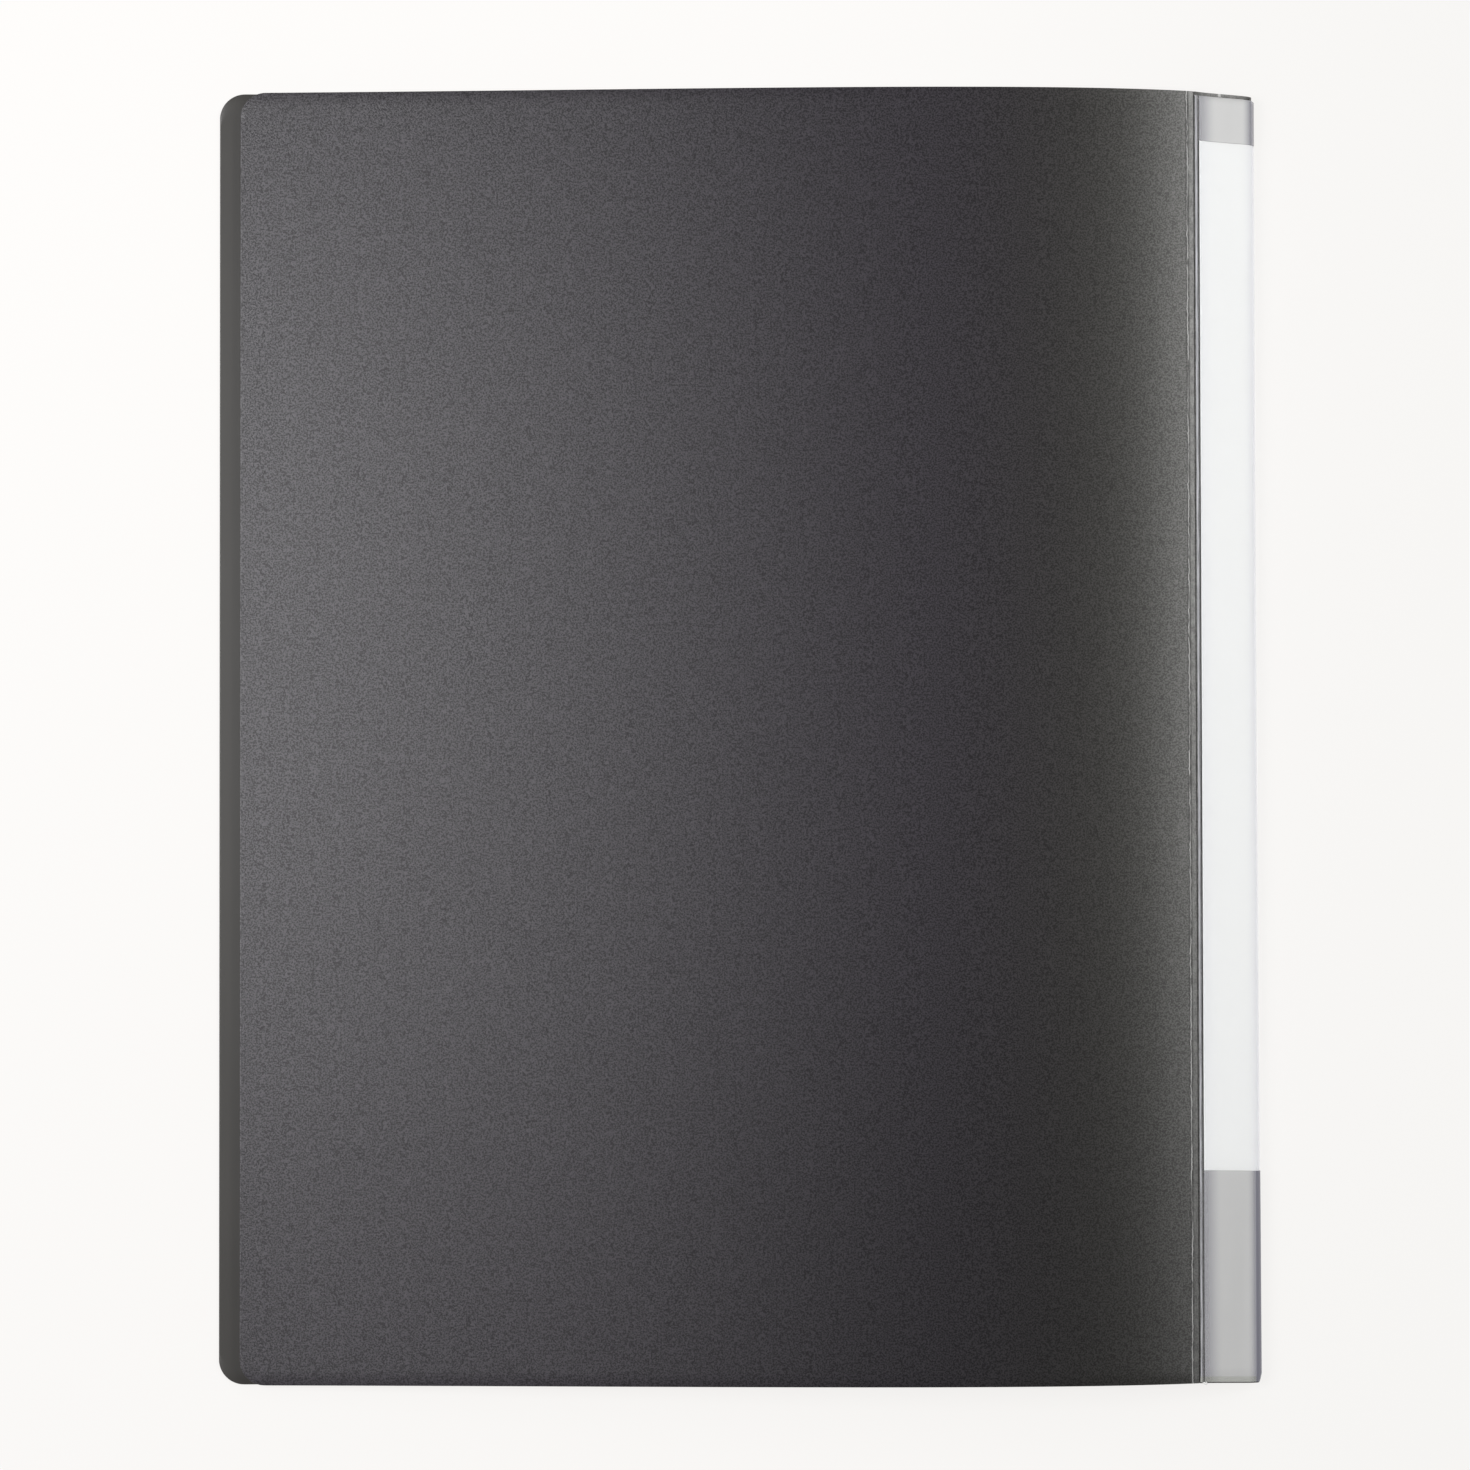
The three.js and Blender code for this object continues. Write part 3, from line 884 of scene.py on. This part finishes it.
class BOOK_OT_label_pocket(bpy.types.Operator):
    """Build the clear pocket on the spine and the card in it"""
    bl_idname = "book.label_pocket"
    bl_label = "Label pocket"

    def execute(self, context):
        lie, look = context.scene.book_lie, context.scene.book_spine
        lines = BookLines(lie)
        spine = lines.spine
        clearance = 0.02 * MM
        low = SHEET / 2 + lie.film / 2 + clearance
        high = lines.stack - lie.film / 2
        material = clear_film(look, spine.length, lines.back_score.x, FILM_HIGH.x)
        # The rows lie close together within this distance of a score line.
        border = (look.selvedge + look.weld) * 1.6
        places = spread(0, border, FILM_EDGE_ROWS)
        places += spread(border, spine.length - border, FILM_ROWS)[1:]
        places += spread(spine.length - border, spine.length, FILM_EDGE_ROWS)[1:]
        stations = stations_along(spine, places, FILM_LOW.y, FILM_HIGH.y)

        wave_height, wave_width, wave_length = 0.02 * MM, 4 * MM, 26 * MM

        def lift(distance, y):
            height = self.film_height(min(distance, spine.length - distance), look, low, high)
            risen = smooth(min((y - FILM_LOW.y) / look.end_seal, (FILM_HIGH.y - y) / look.top_seal, 1))
            wave = wave_height * noise.noise(Vector((distance / wave_width, y / wave_length, 0)))
            return low + (height - low) * risen + wave * risen

        film = bent_sheet(
            "spine_sleeve", stations, lie.film, FILM_COLUMNS, [material],
            lift=lift, settle=lines.settle, fine=look.top_seal,
        )
        dress(film, "spine", "spine_film")
        places = spread(look.card_inset, spine.length - look.card_inset, CARD_ROWS)
        height = SHEET / 2 + lie.layer_gap + lie.card / 2
        stations = stations_along(spine, places, CARD_LOW.y, CARD_HIGH.y, height)
        card = bent_sheet(
            "spine_card", stations, lie.card, CARD_COLUMNS, [plain_card(look)],
            rim=0.03 * MM, settle=lines.settle,
        )
        dress(card, "spine", "label_card")
        self.torn_end(lie, look, spine, high)
        return {"FINISHED"}

    def torn_end(self, lie, look, spine, high):
        """The curled bit of film that has torn loose from the weld at the bottom end."""
        graph = new_material("torn_film")
        crumpled = graph.noise(graph.place(), 0.5 * MM, detail=3)
        material = graph.surface({
            "Base Color": (*look.torn, 1),
            "Roughness": 0.25,
            "Alpha": crumpled.step(low=0.35, high=0.6).between(0.25, 0.95),
            "Normal": graph.bump(crumpled, 0.2 * MM),
        })
        narrowing = 0.5
        flare, flare_turn = 0.3, 4
        squash = 0.8
        vertices = []
        for side in (1, 0):
            for curl in spread(0, 1, TORN_ROWS - 1):
                turn = look.torn_turn * curl
                for sideways in spread(0, 1, TORN_COLUMNS - 1):
                    across = look.torn_width * (sideways - 0.5) * (1 - narrowing * curl)
                    point, normal = spine.read(look.selvedge + across)
                    radius = look.torn_radius * (1 + flare * math.sin(flare_turn * sideways))
                    radius -= side * lie.film / 2
                    p = point + normal * (high + look.torn_radius - radius * math.cos(turn))
                    vertices.append((p.x, FILM_LOW.y - radius * math.sin(turn) * squash, p.y))
        faces = [face for face, _ in sheet_faces(TORN_ROWS, TORN_COLUMNS)]
        dress(mesh_piece("torn_film_end", vertices, faces, [material]), "spine", "spine_film")

    def film_height(self, inside, look, low, high):
        """The film lies low at its weld, stands proud outside it and climbs over the card inside it."""
        foot = (look.selvedge + look.weld) * 0.97
        proud = 0.45
        if inside > look.selvedge:
            return low + (high - low) * smooth(min(max((inside - foot) / look.climb, 0), 1))
        return low + (high - low) * proud * smooth(min((look.selvedge - inside) / (look.selvedge / 2), 1))


class BOOK_OT_pockets(bpy.types.Operator):
    """Build the stack of clear pockets"""
    bl_idname = "book.pockets"
    bl_label = "Pockets"

    def execute(self, context):
        lie, look = context.scene.book_lie, context.scene.book_pocket
        roof, floor = self.outlines(BookLines(lie), look)
        material = pocket_film(look)
        # The edges of the pockets lie back by uneven lengths, this one on average.
        mean_setback, shuffle = 0.3 * MM, 2.4
        for number in range(look.pockets):
            setback = mean_setback * (1 + math.sin(number * shuffle))
            line = self.pocket_line(number, look.pockets, BLOCK_LOW.x + setback, roof, floor)
            places = spread(0, line.length, POCKET_ROWS)
            stations = stations_along(line, places, BLOCK_LOW.y + setback, BLOCK_HIGH.y - setback)
            name = f"pocket_{number + 1:02d}"
            pocket = bent_sheet(name, stations, look.thickness, POCKET_COLUMNS, [material])
            dress(pocket, "spine", "pocket_block")
        return {"FINISHED"}

    def pocket_line(self, number, pockets, fore, roof, floor):
        """The slightly wavy middle line of one pocket, at its own height between the floor and the roof."""
        share_up = (number + 0.5) / pockets
        wave_share, wave_length, wave_shift = 0.3, 45 * MM, 1.7
        points = []
        for x in spread(fore, BLOCK_HIGH.x, POCKET_ROWS):
            low, high = floor.at_x(x), roof.at_x(x)
            room = (high - low) / pockets
            wave = wave_share * room * noise.noise(Vector((x / wave_length, number * wave_shift, 0)))
            points.append(Vector((x, low + (high - low) * share_up + wave)))
        return Profile(points)

    def outlines(self, lines, look):
        """The top and the bottom of the room that the pockets fill."""
        inner = SHEET / 2 + look.rest
        roof = []
        for k in range(0, len(lines.cover.points), ROOF_STRIDE):
            point, normal = lines.cover.read(lines.cover.at[k])
            under = point + normal * inner
            if BLOCK_LOW.x < under.x < lines.back_crease.x - look.root_taper:
                roof.append(under)
        roof.reverse()
        root_high = Vector((BLOCK_HIGH.x, lines.nose.y + look.root / 2))
        root_low = Vector((BLOCK_HIGH.x, lines.nose.y - look.root / 2))
        roof += bezier([roof[-1], Vector((lines.back_crease.x, root_high.y)), root_high], ROOT_STEPS)[1:]
        start = Vector((lines.front_crease.x - look.root_taper, BLOCK_LOW.z))
        turn = Vector((lines.front_crease.x - look.root_taper / 2, BLOCK_LOW.z))
        under_root = Vector((lines.front_crease.x, root_low.y))
        floor = [Vector((BLOCK_LOW.x, BLOCK_LOW.z))]
        floor += bezier([start, turn, under_root], ROOT_STEPS)
        floor.append(root_low)
        return Profile(roof), Profile(floor)


class BOOK_OT_stage(bpy.types.Operator):
    """Set up the floor, the light and the camera"""
    bl_idname = "book.stage"
    bl_label = "Stage"

    def execute(self, context):
        look = context.scene.book_stage
        graph = new_material("pale_floor")
        point = graph.place()
        edge = 0.2
        glow = graph.blend(graph.axis(point, "Y").step(-edge, edge), look.floor_bottom, look.floor_top)
        glow = graph.blend(graph.axis(point, "X").step(0, edge), glow, look.floor_right)
        floor_material = graph.surface({
            "Base Color": (*look.floor_paint, 1),
            "Roughness": 0.9,
            "Specular IOR Level": 0.0,
            "Emission Color": glow,
            "Emission Strength": 1.0,
        })
        reach = 4.0
        corners = [(-reach, -reach, 0), (reach, -reach, 0), (reach, reach, 0), (-reach, reach, 0)]
        mesh_piece("floor", corners, [(0, 1, 2, 3)], [floor_material])
        world = bpy.data.worlds.new("soft_room")
        context.scene.world = world
        graph = Graph(world)
        height = graph.axis(graph.place("Generated"), "Z")
        strength = height.step(low=0.45, high=0.8).between(look.walls, look.ceiling)
        inputs = {"Color": (*look.room_tint, 1), "Strength": strength}
        room = graph.add("ShaderNodeBackground", inputs=inputs)
        graph.add("ShaderNodeOutputWorld", inputs={"Surface": room.outputs[0]})
        self.softbox("left_softbox", look.left_lamp, look.left_size, look.left_power)
        self.softbox("right_softbox", look.right_lamp, look.right_size, look.right_power, look.right_tint)
        self.camera(context.scene, look)
        context.scene.view_settings.view_transform = "Standard"
        return {"FINISHED"}

    def softbox(self, name, centre, size, power, tint=(1, 1, 1)):
        """A large soft area light that faces straight down."""
        data = bpy.data.lights.new(name, "AREA")
        data.shape = "RECTANGLE"
        data.size, data.size_y = size
        data.energy = power
        data.color = tint
        light = bpy.data.objects.new(name, data)
        bpy.context.scene.collection.objects.link(light)
        light.location = centre
        light.visible_camera = False

    def camera(self, scene, look):
        """The camera at the photograph's place, nearly straight above the book."""
        camera = bpy.data.objects.new("camera", bpy.data.cameras.new("camera"))
        scene.collection.objects.link(camera)
        camera.data.lens = look.focal
        camera.data.clip_start = 0.01
        camera.data.clip_end = 50
        x, y, z = look.turn
        turned = Matrix.Rotation(z, 3, "Z") @ Matrix.Rotation(y, 3, "Y") @ Matrix.Rotation(x, 3, "X")
        camera.matrix_world = Matrix.Translation(look.eye) @ turned.transposed().to_4x4()
        scene.camera = camera


class BOOK_PT_panel(bpy.types.Panel):
    """The display book's panel"""
    bl_label = "Display Book"
    bl_idname = "BOOK_PT_panel"
    bl_space_type = "VIEW_3D"
    bl_region_type = "UI"
    bl_category = "Display Book"

    def draw(self, context):
        for operator in OPERATORS:
            self.layout.operator(operator.bl_idname)
        for name in SETTINGS:
            group = getattr(context.scene, name)
            box = self.layout.box()
            for key in group.__annotations__:
                box.prop(group, key)


OPERATORS = (BOOK_OT_covers, BOOK_OT_spine, BOOK_OT_label_pocket, BOOK_OT_pockets, BOOK_OT_stage)
SETTINGS = {
    "book_lie": BookLie,
    "book_cover": CoverLook,
    "book_spine": SpineLook,
    "book_pocket": PocketLook,
    "book_stage": StageLook,
}


def register():
    for group in SETTINGS.values():
        bpy.utils.register_class(group)
    for operator in OPERATORS:
        bpy.utils.register_class(operator)
    bpy.utils.register_class(BOOK_PT_panel)
    for name, group in SETTINGS.items():
        setattr(bpy.types.Scene, name, PointerProperty(type=group))


def unregister():
    for name in SETTINGS:
        delattr(bpy.types.Scene, name)
    bpy.utils.unregister_class(BOOK_PT_panel)
    for operator in reversed(OPERATORS):
        bpy.utils.unregister_class(operator)
    for group in SETTINGS.values():
        bpy.utils.unregister_class(group)


def main():
    register()
    bpy.ops.book.stage()
    bpy.ops.book.covers()
    bpy.ops.book.spine()
    bpy.ops.book.label_pocket()
    bpy.ops.book.pockets()


if __name__ == "__main__":
    main()
